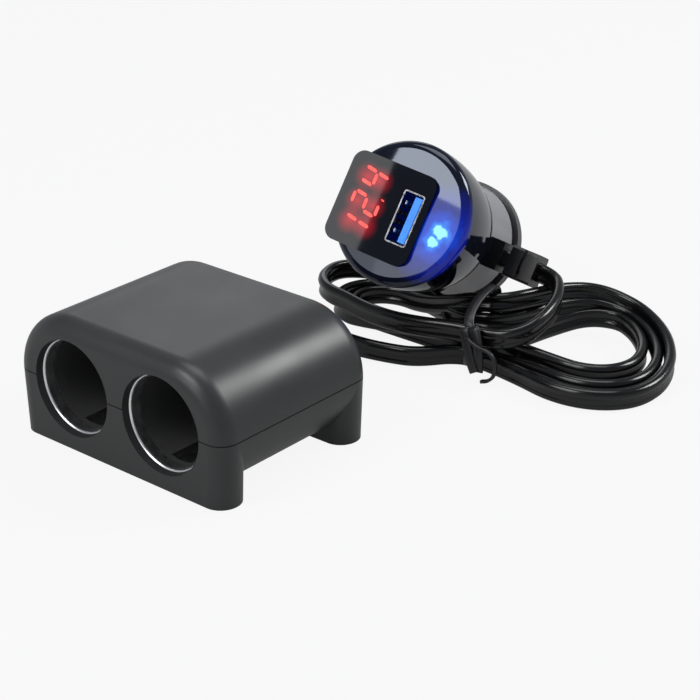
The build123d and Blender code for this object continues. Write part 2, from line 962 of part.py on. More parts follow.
with BuildPart() as cord_lead_housing:
    add(cord_tube(housing_route))
keep(cord_lead_housing, "cord_lead_housing")

with BuildPart() as cord_lead_plug:
    add(cord_tube(plug_route))
keep(cord_lead_plug, "cord_lead_plug")

# Space that the plug takes above the hank
with BuildPart() as plug_envelope:
    add(
        turned(
            [
                (0, -plug_rest_gap),
                (head_radius + plug_rest_gap, -plug_rest_gap),
                (head_radius + plug_rest_gap, head_rim_station),
                (head_mid_radius + 2 * plug_rest_gap, head_mid_station),
                (head_back_radius + 2 * plug_rest_gap, head_back_station),
                (head_back_radius + plug_rest_gap, neck_station + plug_rest_gap),
                (neck_radius + plug_rest_gap, neck_station + plug_rest_gap),
                (neck_radius + plug_rest_gap, collar_station - plug_rest_gap),
                (collar_radius + plug_rest_gap, collar_station - plug_rest_gap),
                (collar_radius + plug_rest_gap, collar_end + plug_rest_gap),
                (crest + plug_rest_gap, collar_end + plug_rest_gap),
                (crest + plug_rest_gap, barrel_end),
                (0, barrel_end),
            ]
        )
    )

# Hank: two looped lobes pinched at the tie, hollowed where the plug lies on them
waist_plane = Plane((tie_x, tie_y, 0)).rotated((0, 0, hank_turn))
waist_section = Plane(waist_plane.origin, x_dir=waist_plane.y_dir, z_dir=waist_plane.x_dir)
waist_foot = tie_thickness + tie_gap
waist_middle = (waist_top + waist_foot) / 2

with BuildPart() as left_lobe:
    with BuildSketch(Plane.XY.offset(lobe_clear)):
        with Locations((left_lobe_x, left_lobe_y)):
            Circle(left_lobe_radius)
        with Locations((tie_x - left_waist, tie_y)):
            Circle(waist_width / 2)
        make_hull()
    extrude(amount=left_lobe_top)
    with BuildSketch(Plane.XY):
        with Locations((left_lobe_x, left_lobe_y)):
            Circle(left_open_radius)
        with Locations((tie_x - left_open_reach, tie_y + left_open_rise)):
            Circle(left_open_end)
        make_hull()
    extrude(amount=2 * left_lobe_top, mode=Mode.SUBTRACT)

lobe_way = Vector(cos(radians(right_lobe_turn)), sin(radians(right_lobe_turn)), 0)
lobe_middle = Vector(right_lobe_x, right_lobe_y, 0)
open_middle = lobe_middle + Vector(-lobe_way.Y, lobe_way.X, 0) * right_open_shift
with BuildPart() as right_lobe:
    with BuildSketch(Plane.XY.offset(lobe_clear)):
        for end in (-right_lobe_stretch, right_lobe_stretch):
            spot = lobe_middle + end * lobe_way
            with Locations((spot.X, spot.Y)):
                Circle(right_lobe_radius)
        with Locations((tie_x + right_waist, tie_y)):
            Circle(waist_width / 2)
        make_hull()
    extrude(amount=2 * right_lobe_top)
    with BuildSketch(Plane.XY):
        for end in (-right_open_stretch, right_open_stretch):
            spot = open_middle + end * lobe_way
            with Locations((spot.X, spot.Y)):
                Circle(right_open_radius)
        make_hull()
    extrude(amount=4 * right_lobe_top, mode=Mode.SUBTRACT)
    lobe_plane = Plane((right_lobe_x, right_lobe_y, right_lobe_top)).rotated((right_lobe_slope, 0, 0))
    split(bisect_by=lobe_plane, keep=Keep.BOTTOM)

with BuildPart() as cord_hank:
    add(left_lobe.part)
    add(right_lobe.part)
    with BuildSketch(waist_plane):
        Rectangle(tie_band + 4 * tie_gap, 6 * waist_width)
    extrude(amount=2 * waist_top, mode=Mode.SUBTRACT)
    with BuildSketch(waist_section):
        with Locations((0, waist_middle)):
            RectangleRounded(waist_width, waist_top - waist_foot, waist_round)
    extrude(amount=waist_length / 2, both=True)
    add(plug_envelope.part, mode=Mode.SUBTRACT)
keep(cord_hank, "cord_hank")

# Twist tie round the hank's waist, its ends twisted in front
inner_width = waist_width + 2 * tie_gap
inner_height = waist_top - waist_foot + 2 * tie_gap
stub_root = inner_width / 2 + tie_thickness / 2
stub_plane = Plane(
    waist_plane.from_local_coords(Vector(0, -stub_root, tie_stub_height)),
    x_dir=waist_plane.x_dir,
    z_dir=-waist_plane.y_dir,
)
with BuildPart() as twist_tie:
    with BuildSketch(waist_section):
        with Locations((0, waist_middle)):
            RectangleRounded(inner_width + 2 * tie_thickness, inner_height + 2 * tie_thickness, waist_round + tie_thickness)
            RectangleRounded(inner_width, inner_height, waist_round, mode=Mode.SUBTRACT)
    extrude(amount=tie_band / 2, both=True)
    with BuildSketch(stub_plane):
        Circle(tie_stub_radius)
    extrude(amount=tie_stub_length)
    with BuildSketch(stub_plane.offset(tie_stub_length - tie_thickness).rotated((tie_tail_drop, 0, 0))):
        Rectangle(tie_tail_width, tie_thickness)
    extrude(amount=tie_tail_length)
keep(twist_tie, "twist_tie")
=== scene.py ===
"""Looks for the socket splitter: materials, the tied flat cord, the lit display and the lamp."""

from math import cos, pi, radians, sin

import bmesh
import bpy
from mathutils import Matrix, Vector


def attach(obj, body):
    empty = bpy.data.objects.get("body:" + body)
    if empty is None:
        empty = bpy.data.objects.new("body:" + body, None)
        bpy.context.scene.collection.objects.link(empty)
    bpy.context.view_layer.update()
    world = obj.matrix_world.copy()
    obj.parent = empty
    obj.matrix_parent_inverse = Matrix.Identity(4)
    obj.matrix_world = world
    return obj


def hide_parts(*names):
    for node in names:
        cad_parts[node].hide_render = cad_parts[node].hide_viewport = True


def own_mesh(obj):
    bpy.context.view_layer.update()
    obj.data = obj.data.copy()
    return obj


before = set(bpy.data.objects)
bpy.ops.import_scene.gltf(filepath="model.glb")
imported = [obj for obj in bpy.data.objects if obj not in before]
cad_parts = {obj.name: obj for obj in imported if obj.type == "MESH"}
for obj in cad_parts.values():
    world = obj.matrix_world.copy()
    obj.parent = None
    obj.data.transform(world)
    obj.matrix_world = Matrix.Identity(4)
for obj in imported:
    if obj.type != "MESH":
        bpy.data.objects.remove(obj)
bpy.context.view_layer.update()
mm = 0.001
body = "splitter"

# Camera at the photograph's place
camera_place = Vector((270.074, -266.227, 193.714)) * mm
camera_azimuth = radians(40.183)
camera_elevation = radians(24.722)
focal_pixels = 1902
picture_width = 700
sensor_width = 36.0
nearest_seen = 0.01

# Cord: a flat twin, standing on edge
cord_width = 5.0
cord_thickness = 2.7
cord_groove = 0.35

# Plug frame, as in the solids
plug_face = Vector((6.75, 63.1, 35.581))
plug_out = Vector((0.17029, -0.86003, 0.48099))
plug_across = Vector((0.98104, 0.10237, -0.16429))
plug_up = plug_out.cross(plug_across)
relief_station = 29.7
relief_end = 27.0
lead_stub = 4.6

# Hank
tie_place = Vector((26.0, 69.8, 0.0))
tie_turn = radians(7.6)


def plug_point(x, y, station=0.0):
    """A point of the plug, in millimetres, from its face's middle."""
    return plug_face + x * plug_across + y * plug_up - station * plug_out


def tie_point(along, across, height):
    """A point near the tie, in millimetres along and across the hank."""
    x = along * cos(tie_turn) - across * sin(tie_turn)
    y = along * sin(tie_turn) + across * cos(tie_turn)
    return tie_place + Vector((x, y, height))


# Materials
drift_scale = 60.0
grain_detail = 2.0
head_drift_scale = 80.0
window_drift_scale = 90.0
ragged_scale = 520.0
ragged_share = 0.2
spark_lag = 0.04
bloom_power = 1.4
core_scale = 700.0
streak_scale = 500.0
# Painted glow on the head: its colours from the lamp's spots outwards
glow_stops = [
    (0.21, (0.34, 0.92, 1.0)),
    (0.24, (0.01, 0.22, 0.95)),
    (0.34, (0.0, 0.05, 0.60)),
    (0.55, (0.0, 0.006, 0.24)),
    (1.0, (0.0, 0.0, 0.0)),
]
# Painted bloom on the window: from none to red at the digits
bloom_stops = [
    (0.0, (0.0, 0.0, 0.0)),
    (1.0, (0.50, 0.004, 0.014)),
]


def math_node(tree, operation, *values):
    """A Math node's output, fed by sockets or plain numbers."""
    node = tree.nodes.new("ShaderNodeMath")
    node.operation = operation
    for socket, value in zip(node.inputs, values):
        if isinstance(value, float):
            socket.default_value = value
        else:
            tree.links.new(value, socket)
    return node.outputs["Value"]


class Look:
    """A procedural material being wired up around one Principled shader."""

    def __init__(self, name):
        self.material = bpy.data.materials.new(name)
        self.material.use_nodes = True
        self.tree = self.material.node_tree
        self.nodes = self.tree.nodes
        self.shader = self.nodes["Principled BSDF"]

    def link(self, source, target):
        self.tree.links.new(source, target)

    def set(self, **values):
        for name, value in values.items():
            self.shader.inputs[name.replace("_", " ")].default_value = value

    def place(self):
        return self.nodes.new("ShaderNodeTexCoord").outputs["Object"]

    def noise(self, scale, detail=4.0):
        node = self.nodes.new("ShaderNodeTexNoise")
        node.inputs["Scale"].default_value = scale
        node.inputs["Detail"].default_value = detail
        self.link(self.place(), node.inputs["Vector"])
        return node.outputs["Fac"]

    def ramp(self, source, low, high, start=0.3, end=0.7):
        node = self.nodes.new("ShaderNodeMapRange")
        node.inputs["From Min"].default_value = start
        node.inputs["From Max"].default_value = end
        node.inputs["To Min"].default_value = low
        node.inputs["To Max"].default_value = high
        self.link(source, node.inputs["Value"])
        return node.outputs["Result"]

    def mix(self, source, low, high, socket):
        node = self.nodes.new("ShaderNodeMix")
        node.data_type = "RGBA"
        node.inputs["A"].default_value = (*low, 1)
        node.inputs["B"].default_value = (*high, 1)
        self.link(source, node.inputs["Factor"])
        self.link(node.outputs["Result"], self.shader.inputs[socket])

    def tint(self, source, low, high):
        self.mix(source, low, high, "Base Color")

    def glow(self, source, low, high, strength):
        self.mix(source, low, high, "Emission Color")
        self.set(Emission_Strength=strength)

    def glow_ramp(self, source, stops):
        node = self.nodes.new("ShaderNodeValToRGB")
        elements = node.color_ramp.elements
        for element, (position, colour) in zip(elements, (stops[0], stops[-1])):
            element.position = position
            element.color = (*colour, 1)
        for position, colour in stops[1:-1]:
            elements.new(position).color = (*colour, 1)
        self.link(source, node.inputs["Fac"])
        self.link(node.outputs["Color"], self.shader.inputs["Emission Color"])
        self.set(Emission_Strength=1.0)

    def rough(self, source, low, high):
        self.link(self.ramp(source, low, high), self.shader.inputs["Roughness"])

    def bump(self, source, depth, strength=0.5):
        node = self.nodes.new("ShaderNodeBump")
        node.inputs["Strength"].default_value = strength
        node.inputs["Distance"].default_value = depth * mm
        self.link(source, node.inputs["Height"])
        self.link(node.outputs["Normal"], self.shader.inputs["Normal"])

    def math(self, operation, *values):
        return math_node(self.tree, operation, *values)

    def height(self, way, origin):
        node = self.nodes.new("ShaderNodeVectorMath")
        node.operation = "DOT_PRODUCT"
        node.inputs[1].default_value = way
        self.link(self.place(), node.inputs[0])
        return self.math("SUBTRACT", node.outputs["Value"], way.dot(origin))

    def distance(self, point):
        node = self.nodes.new("ShaderNodeVectorMath")
        node.operation = "DISTANCE"
        node.inputs[1].default_value = point
        self.link(self.place(), node.inputs[0])
        return node.outputs["Value"]


def moulded(name, low, high, rough, grain=1800.0, depth=0.02, **values):
    """Moulded plastic or rubber: a fine grain and a slow drift in colour and gloss."""
    look = Look(name)
    drift = look.noise(drift_scale)
    look.tint(drift, low, high)
    look.rough(drift, *rough)
    look.bump(look.noise(grain, grain_detail), depth)
    look.set(**values)
    return look.material


def plated(name, low, high, rough, grain=900.0):
    """Plated or brushed metal with faint wear."""
    look = Look(name)
    wear = look.noise(grain)
    look.tint(wear, low, high)
    look.rough(wear, *rough)
    look.set(Metallic=1.0)
    return look.material


def glossy_head(lamp, spark, reach, fade_start, fade_end):
    """Deep blue gloss with a painted glow from the lamp inside, at two spots, that fades behind the
    face.
    """
    look = Look("head_blue_gloss")
    drift = look.noise(head_drift_scale)
    look.tint(drift, (0.003, 0.004, 0.011), (0.005, 0.007, 0.019))
    look.rough(drift, 0.04, 0.08)
    look.set(IOR=1.52, Specular_Tint=(0.76, 0.84, 1.0, 1))
    first = look.ramp(look.distance(lamp), 0.0, 1.0, 0.0, reach)
    second = look.ramp(look.distance(spark), spark_lag, 1 + spark_lag, 0.0, reach)
    behind = look.ramp(look.height(plug_out, plug_face * mm), 1.0, 0.0, -fade_end, -fade_start)
    near = look.math("ADD", look.math("MINIMUM", first, second), behind)
    ragged = look.math("MULTIPLY_ADD", look.noise(ragged_scale, grain_detail), ragged_share, near)
    look.glow_ramp(ragged, glow_stops)
    return look.material


def display_glass(centres, reach):
    """Black gloss panel with a painted red bloom round the lit digits."""
    look = Look("window_black_gloss")
    drift = look.noise(window_drift_scale)
    look.tint(drift, (0.001, 0.002, 0.006), (0.002, 0.003, 0.010))
    look.rough(drift, 0.02, 0.04)
    look.set(IOR=1.5)
    total = None
    for centre in centres:
        near = look.ramp(look.distance(centre), 1.0, 0.0, 0.0, reach)
        bloom = look.math("POWER", near, bloom_power)
        total = bloom if total is None else look.math("ADD", total, bloom)
    look.glow_ramp(total, bloom_stops)
    return look.material


def lit(name, low, high, strength):
    """A lit surface with an uneven core."""
    look = Look(name)
    core = look.noise(core_scale)
    look.tint(core, low, high)
    look.glow(core, low, high, strength)
    look.set(Roughness=0.3)
    return look.material


def lit_front(name, deep, bright, strength, depth):
    """A port's blue tongue with a painted glow at its front, fading to painted shade further in."""
    look = Look(name)
    near = look.ramp(look.height(plug_out, plug_face * mm), 0.0, 1.0, -depth, 0.0)
    streak = look.math("MULTIPLY", near, look.ramp(look.noise(streak_scale), 0.7, 1.0))
    look.tint(streak, deep, bright)
    look.glow(streak, deep, bright, strength)
    look.set(Roughness=0.35)
    return look.material


def grey(value):
    """A neutral colour."""
    return (value, value, value)


# Lamp behind the face, and the reach of its painted glow on the head, in millimetres of the plug
lamp_place = plug_point(12.0, -0.7)
spark_place = plug_point(11.2, -3.2)
glow_reach = 13.5
glow_start = 2.5
glow_end = 8.0
tongue_lit_depth = 0.9

# Digits on the window
digits_x = -8.5
digits_y = -1.2
window_front = -0.8
digit_height = 7.2
digit_width = 3.4
digit_pitch = 6.2
bloom_reach = 3.9

# Middle of each painted bloom: pitches along the reading direction, and a share of the digits' height
bloom_places = [(-0.8, -0.3), (-0.8, 0.3), (0, -0.3), (0, 0.3), (1, 0.3), (1, -0.2)]
digit_blooms = []
for step, rise in bloom_places:
    x = digits_x - rise * digit_height
    y = digits_y + step * digit_pitch
    digit_blooms.append(plug_point(x, y, window_front) * mm)

# Each moulding: two colours that it drifts between, and its range of roughness
housing_look = moulded(
    "housing_matte", (0.026, 0.027, 0.027), (0.034, 0.035, 0.035), (0.34, 0.42), grain=2600.0, depth=0.01
)
black_look = moulded("black_moulding", grey(0.006), grey(0.010), (0.4, 0.55))
barrel_look = moulded(
    "barrel_satin", (0.044, 0.044, 0.047), (0.058, 0.058, 0.062), (0.28, 0.4), depth=0.01
)
# Painted light: the black liner is given a lighter grey that stands in for light inside the sockets
liner_painted_light_look = moulded("liner_matte_painted_light", grey(0.045), grey(0.058), (0.5, 0.65))
relief_look = moulded(
    "relief_rubber", (0.008, 0.008, 0.009), (0.014, 0.014, 0.015), (0.25, 0.4), grain=1500.0, depth=0.03
)
cord_look = moulded("cord_gloss", grey(0.004), grey(0.007), (0.16, 0.24), grain=220.0, IOR=1.48)
tie_look = moulded(
    "tie_coat", (0.007, 0.007, 0.008), (0.012, 0.012, 0.013), (0.3, 0.45), grain=1200.0, depth=0.03
)
neck_look = moulded(
    "neck_silver",
    (0.25, 0.25, 0.265),
    (0.32, 0.32, 0.335),
    (0.1, 0.18),
    grain=2200.0,
    depth=0.004,
    Coat_Weight=0.5,
)
board_look = moulded("board_lacquer", (0.01, 0.09, 0.03), (0.02, 0.13, 0.05), (0.25, 0.4))
block_look = moulded("display_block", (0.03, 0.003, 0.003), (0.05, 0.005, 0.005), (0.3, 0.45))
red_core_look = moulded("core_red", (0.4, 0.01, 0.01), (0.48, 0.02, 0.02), (0.35, 0.5))
glass_look = moulded(
    "fuse_glass",
    (0.8, 0.85, 0.85),
    (0.9, 0.94, 0.94),
    (0.02, 0.05),
    grain=300.0,
    depth=0.005,
    Transmission_Weight=0.9,
)

# Each metal: two colours that it wears between, and its range of roughness
chrome_look = plated("bright_plate", (0.72, 0.72, 0.74), (0.85, 0.85, 0.87), (0.06, 0.14))
ring_look = plated("ring_plate", (0.90, 0.90, 0.91), (0.96, 0.96, 0.97), (0.28, 0.38))
steel_look = plated("spring_steel", (0.45, 0.45, 0.46), (0.6, 0.6, 0.61), (0.22, 0.38))
dark_steel_look = plated("dark_steel", (0.18, 0.18, 0.19), (0.26, 0.26, 0.27), (0.3, 0.45))
brass_look = plated("plain_brass", (0.62, 0.44, 0.18), (0.76, 0.58, 0.28), (0.2, 0.34))

# Lit pieces: the lamp and digits glow; the tongue, head and window carry painted glow
tongue_look = lit_front(
    "tongue_blue", (0.0, 0.003, 0.045), (0.008, 0.22, 0.85), strength=0.7, depth=tongue_lit_depth * mm
)
lamp_look = lit("lamp_blue", (0.25, 0.7, 1.0), (0.6, 0.95, 1.0), strength=2.0)
digit_look = lit("digit_red", (0.80, 0.01, 0.02), (1.0, 0.12, 0.08), strength=1.0)
head_look = glossy_head(
    lamp_place * mm, spark_place * mm, glow_reach * mm, glow_start * mm, glow_end * mm
)
window_look = display_glass(digit_blooms, bloom_reach * mm)

looks = {
    "top_cover": housing_look,
    "bottom_cover": housing_look,
    "cover_screws": dark_steel_look,
    "positive_bus": brass_look,
    "negative_bus": brass_look,
    "positive_tail": red_core_look,
    "negative_tail": black_look,
    "housing_strain_relief": relief_look,
    "plug_strain_relief": relief_look,
    "head_shell": head_look,
    "display_window": window_look,
    "display_module": block_look,
    "usb_shell": chrome_look,
    "usb_tongue": tongue_look,
    "usb_contacts": brass_look,
    "circuit_board": board_look,
    "indicator_led": lamp_look,
    "neck_ring": neck_look,
    "plug_barrel": barrel_look,
    "right_side_contact": chrome_look,
    "left_side_contact": chrome_look,
    "tip_nut": black_look,
    "centre_pin": chrome_look,
    "fuse_tube": glass_look,
    "fuse_caps": chrome_look,
    "fuse_terminal": brass_look,
    "pin_spring": steel_look,
}
for side in ("left", "right"):
    looks[f"{side}_socket_ring"] = ring_look
    looks[f"{side}_socket_liner"] = liner_painted_light_look
    looks[f"{side}_ground_strips"] = dark_steel_look
    looks[f"{side}_centre_contact"] = brass_look


def dress(obj, material):
    """Give a piece one material, whatever slots it came with."""
    obj.data.materials.clear()
    obj.data.materials.append(material)


for name, material in looks.items():
    dress(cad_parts[name], material)

# Cord route: out of the housing, round the hank and up to the plug, in millimetres
housing_route = [
    Vector((0, 35.5, 9.5)),
    Vector((0, 40.5, 9.5)),
    Vector((0.8, 46.8, 6.6)),
    Vector((4.5, 52.5, 3.4)),
    Vector((10.5, 55.5, 2.6)),
    Vector((17, 58, 2.6)),
]
relief_mouth = plug_point(relief_end, 0, relief_station)
plug_route = [
    Vector((32.0, 65.0, 9.7)),
    Vector((37.0, 66.0, 10.3)),
    Vector((40.6, 69.4, 11.6)),
    Vector((41.4, 75.4, 13.3)),
    Vector((40.2, 81.6, 14.6)),
    Vector((37.2, 87.4, 15.6)),
    relief_mouth + lead_stub * plug_across,
    relief_mouth,
]
lobe_turn = radians(-37)
right_lobes = [
    {"middle": (46.2, 85.5), "long": 26.0, "short": 19.7, "start": -70, "front": 2.6, "back": 7.6},
    {"middle": (45.4, 87.3), "long": 22.4, "short": 16.5, "start": -62, "front": 2.6, "back": 5.4},
    {"middle": (43.8, 89.4), "long": 18.4, "short": 13.2, "start": -48, "front": 3.4, "back": 4.6},
]
back_ways = [
    [
        Vector((37.0, 104.5, 10.0)),
        Vector((32.0, 95.0, 11.6)),
        Vector((30.4, 84.5, 12.8)),
        Vector((27.2, 77.6, 12.9)),
        Vector((21.2, 75.8, 12.4)),
        Vector((13.5, 77.8, 8.8)),
        Vector((3.0, 82.0, 4.4)),
    ],
    [
        Vector((37.2, 102.6, 7.0)),
        Vector((32.6, 94.0, 7.7)),
        Vector((30.4, 83.5, 7.8)),
        Vector((26.8, 76.8, 7.8)),
        Vector((20.8, 74.8, 7.4)),
        Vector((13.0, 77.0, 5.6)),
        Vector((3.5, 84.0, 2.7)),
    ],
    [
        Vector((36.8, 100.5, 4.6)),
        Vector((32.4, 92.0, 3.4)),
        Vector((29.6, 82.0, 2.7)),
        Vector((26.0, 75.2, 2.6)),
        Vector((20.0, 73.2, 2.6)),
        Vector((12.5, 75.5, 2.7)),
        Vector((4.5, 85.0, 4.2)),
    ],
]
left_lobes = [
    {"middle": (-7.4, 76.6), "wide": 9.2, "deep": 8.0, "front": 2.6, "back": 2.6},
    {"middle": (-9.2, 76.4), "wide": 11.2, "deep": 10.6, "front": 3.2, "back": 2.6},
    {"middle": (-11.0, 75.6), "wide": 13.0, "deep": 12.6, "front": 8.4, "back": 5.0},
]
front_passes = [(-3.2, 2.6), (-0.2, 2.6), (-2.6, 7.7)]
front_run = [Vector((-2.0, 61.6, 8.0)), Vector((8.0, 60.8, 8.4)), Vector((17.5, 61.4, 9.4))]
last_pass = (-6.0, 9.9)
pass_half = 3.5
last_along = -2.0
right_points = 10
right_end = radians(118)
rise_start = 0.5
left_points = 9
left_start = radians(70)
left_end = radians(275)


def right_loop(lobe):
    """Round a right lobe from its front to its back, on a turned ellipse."""
    points = []
    start = radians(lobe["start"])
    for step in range(right_points):
        share = step / (right_points - 1)
        angle = start + share * (right_end - start)
        u = lobe["long"] * cos(angle)
        v = lobe["short"] * sin(angle)
        x = lobe["middle"][0] + u * cos(lobe_turn) - v * sin(lobe_turn)
        y = lobe["middle"][1] + u * sin(lobe_turn) + v * cos(lobe_turn)
        rise = max(0.0, share - rise_start) / (1 - rise_start)
        points.append(Vector((x, y, lobe["front"] + rise * (lobe["back"] - lobe["front"]))))
    return points


def left_loop(lobe):
    """Round a left lobe from its back to its front."""
    points = []
    for step in range(left_points):
        share = step / (left_points - 1)
        angle = left_start + share * (left_end - left_start)
        x = lobe["middle"][0] + lobe["wide"] * cos(angle)
        y = lobe["middle"][1] + lobe["deep"] * sin(angle)
        rise = min(1.0, 2 * share)
        points.append(Vector((x, y, lobe["back"] + rise * (lobe["front"] - lobe["back"]))))
    return points


def hank_route():
    """All turns of the hank, each through the tie twice."""
    points = []
    for right, back_way, left, front in zip(right_lobes, back_ways, left_lobes, front_passes):
        points += [tie_point(-pass_half, *front), tie_point(pass_half, *front)]
        points += right_loop(right) + back_way + left_loop(left)
    return points + front_run + [tie_point(last_along, *last_pass)]


def nurbs(name, points):
    """A smooth open curve with these control points, given in millimetres."""
    data = bpy.data.curves.new(name, "CURVE")
    data.dimensions = "3D"
    spline = data.splines.new("NURBS")
    spline.points.add(len(points) - 1)
    for target, point in zip(spline.points, points):
        target.co = (*(point * mm), 1)
    spline.order_u = 3
    spline.use_endpoint_u = True
    spline.resolution_u = 8
    obj = bpy.data.objects.new(name, data)
    bpy.context.scene.collection.objects.link(obj)
    return obj


# Arc round each core of the cord's section, ending in the groove between them
arc_starts = {1: -60, -1: 120}
arc_step = 30
arc_points = 9


def twin_profile():
    """Section of the flat twin cord: two round cores side by side with a groove between."""
    data = bpy.data.curves.new("cord_section", "CURVE")
    spline = data.splines.new("POLY")
    core = cord_thickness / 2
    offset = cord_width / 2 - core
    points = []
    for sign, arc_start in arc_starts.items():
        for step in range(arc_points):
            angle = radians(arc_start + arc_step * step)
            reach = core - (cord_groove if step in (0, arc_points - 1) else 0)
            points.append((reach * cos(angle), sign * offset + core * sin(angle)))
    spline.points.add(len(points) - 1)
    for target, (x, y) in zip(spline.points, points):
        target.co = (x * mm, y * mm, 0, 1)
    spline.use_cyclic_u = True
    obj = bpy.data.objects.new("cord_section", data)
    bpy.context.scene.collection.objects.link(obj)
    return obj


section = twin_profile()
cord = nurbs("cord", housing_route + hank_route() + plug_route)
cord.data.bevel_mode = "OBJECT"
cord.data.bevel_object = section
cord.data.twist_mode = "Z_UP"
dress(cord, cord_look)
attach(cord, body)
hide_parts("cord_lead_housing", "cord_hank", "cord_lead_plug")

# Twist tie: flat coated strips, given as (along, across, height) of the hank
tie_width = 2.4
tie_thickness = 0.8
tie_loop = [
    (3.6, -8.6, 11.0),
    (1.6, -7.8, 14.0),
    (0.2, -2.0, 16.0),
    (0.0, 5.5, 17.4),
    (-0.2, 10.0, 16.2),
    (-0.4, 9.9, 11.0),
    (-0.5, 8.6, 6.0),
    (-0.4, 7.0, 0.6),
    (0.2, 1.0, 0.45),
    (0.6, -4.4, 0.5),
    (1.6, -7.4, 3.4),
    (2.8, -8.6, 7.2),
]
tie_strips = [
    [(1.1, -8.4, 12.4), (2.0, -9.2, 9.8), (3.2, -9.8, 6.8), (4.2, -10.2, 4.4), (5.2, -10.4, 2.5)],
    [(3.4, -8.2, 13.0), (4.8, -9.0, 10.8), (5.6, -9.6, 7.6), (5.9, -9.8, 5.0), (6.0, -10.0, 2.7)],
]
tie_tail = [
    (2.1, -9.4, 10.6),
    (5.5, -10.2, 9.0),
    (9.4, -10.6, 8.8),
    (11.0, -10.8, 6.2),
    (10.8, -11.0, 3.2),
    (9.2, -11.0, 1.5),
    (7.4, -11.0, 1.0),
]
tail_width = 1.2
tail_side = Vector((0.3, -1.0, 0.2))
corner_cut = 0.25

# Corners of a strip's section, as shares of half its width and half its thickness
ribbon_section = [
    (-1, -0.5),
    (-0.8, -1),
    (0.8, -1),
    (1, -0.5),
    (1, 0.5),
    (0.8, 1),
    (-0.8, 1),
    (-1, 0.5),
]


def eased(points, closed=False, rounds=3):
    """Corner cutting: a smooth run of points inside a control line."""
    for _ in range(rounds):
        following = points[1:] + points[:1] if closed else points[1:]
        cut = []
        for a, b in zip(points, following):
            cut += [a.lerp(b, corner_cut), a.lerp(b, 1 - corner_cut)]
        points = cut if closed else [points[0]] + cut[1:-1] + [points[-1]]
    return points


def ribbon(mesh, points, side, width, thickness, closed=False):
    """Sweep a flat strip along points, its width along a side direction."""
    count = len(points)
    rings = []
    for index, point in enumerate(points):
        before = points[index - 1] if closed or index else point
        after = points[(index + 1) % count] if closed or index < count - 1 else point
        tangent = (after - before).normalized()
        across = (side - side.dot(tangent) * tangent).normalized()
        normal = tangent.cross(across)
        corners = []
        for u, v in ribbon_section:
            corner = point + u * width / 2 * across + v * thickness / 2 * normal
            corners.append(mesh.verts.new(corner * mm))
        rings.append(corners)
    size = len(ribbon_section)
    for index in range(count if closed else count - 1):
        one = rings[index]
        two = rings[(index + 1) % count]
        for k in range(size):
            mesh.faces.new((one[k], one[(k + 1) % size], two[(k + 1) % size], two[k]))
    if not closed:
        mesh.faces.new(list(reversed(rings[0])))
        mesh.faces.new(rings[-1])


def finish_mesh(name, mesh, smooth_shade=True):
    """Turn a bmesh into a linked object."""
    bmesh.ops.recalc_face_normals(mesh, faces=mesh.faces)
    data = bpy.data.meshes.new(name)
    mesh.to_mesh(data)
    mesh.free()
    for polygon in data.polygons:
        polygon.use_smooth = smooth_shade
    obj = bpy.data.objects.new(name, data)
    bpy.context.scene.collection.objects.link(obj)
    return obj


tie_axis = Vector((cos(tie_turn), sin(tie_turn), 0))
mesh = bmesh.new()
loop_points = eased([tie_point(*p) for p in tie_loop], closed=True)
ribbon(mesh, loop_points, tie_axis, tie_width, tie_thickness, closed=True)
for strip in tie_strips:
    ribbon(mesh, eased([tie_point(*p) for p in strip]), tie_axis, tie_width, tie_thickness)
ribbon(mesh, eased([tie_point(*p) for p in tie_tail]), tail_side, tail_width, tie_thickness)
tie = finish_mesh("tie_strip", mesh)
dress(tie, tie_look)
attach(tie, body)
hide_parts("twist_tie")

# Lit digits: seven-segment bars on the window, reading up the plug's face
digit_proud = 0.05
bar_width = 0.8
bar_gap = 0.3
digit_slant = 0.16
point_run = 2.85
point_rise = -4.05
point_half = 0.55
figures = "124"
segments = {"1": "bc", "2": "abged", "4": "fgbc"}
bars = {
    "a": ((0, 1), (1, 1)),
    "b": ((1, 1), (1, 0.5)),
    "c": ((1, 0.5), (1, 0)),
    "d": ((0, 0), (1, 0)),
    "e": ((0, 0.5), (0, 0)),
    "f": ((0, 1), (0, 0.5)),
    "g": ((0, 0.5), (1, 0.5)),
}


def on_window(run, rise, proud):
    """A point on the window: run along the reading direction, rise towards the digits' tops."""
    return plug_point(digits_x - rise, digits_y + run + digit_slant * rise, window_front - proud) * mm


def bar(mesh, start, end):
    """One lit bar with pointed ends between two (run, rise) points."""
    a = Vector(start)
    b = Vector(end)
    way = (b - a).normalized()
    side = Vector((-way.y, way.x))
    half = bar_width / 2
    a += bar_gap * way
    b -= bar_gap * way
    outline = [
        a,
        a + half * (way + side),
        b + half * (side - way),
        b,
        b - half * (way + side),
        a + half * (way - side),
    ]
    top = [mesh.verts.new(on_window(p.x, p.y, digit_proud)) for p in outline]
    low = [mesh.verts.new(on_window(p.x, p.y, -digit_proud)) for p in outline]
    mesh.faces.new(top)
    mesh.faces.new(list(reversed(low)))
    for k in range(len(outline)):
        n = (k + 1) % len(outline)
        mesh.faces.new((top[k], low[k], low[n], top[n]))


mesh = bmesh.new()
for place, figure in enumerate(figures):
    left = (place - 1) * digit_pitch - digit_width / 2
    for key in segments[figure]:
        (x0, y0), (x1, y1) = bars[key]
        start = (left + x0 * digit_width, (y0 - 0.5) * digit_height)
        bar(mesh, start, (left + x1 * digit_width, (y1 - 0.5) * digit_height))
bar(mesh, (point_run - point_half, point_rise), (point_run + point_half, point_rise))
digits = finish_mesh("display_digits", mesh, False)
dress(digits, digit_look)
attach(digits, body)

# Pin spring: the same coil, copied into a piece with a mesh of its own
coil = bpy.data.objects.new("spring_coil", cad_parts["pin_spring"].data.copy())
bpy.context.scene.collection.objects.link(coil)
dress(coil, steel_look)
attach(coil, body)
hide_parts("pin_spring")
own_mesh(coil)

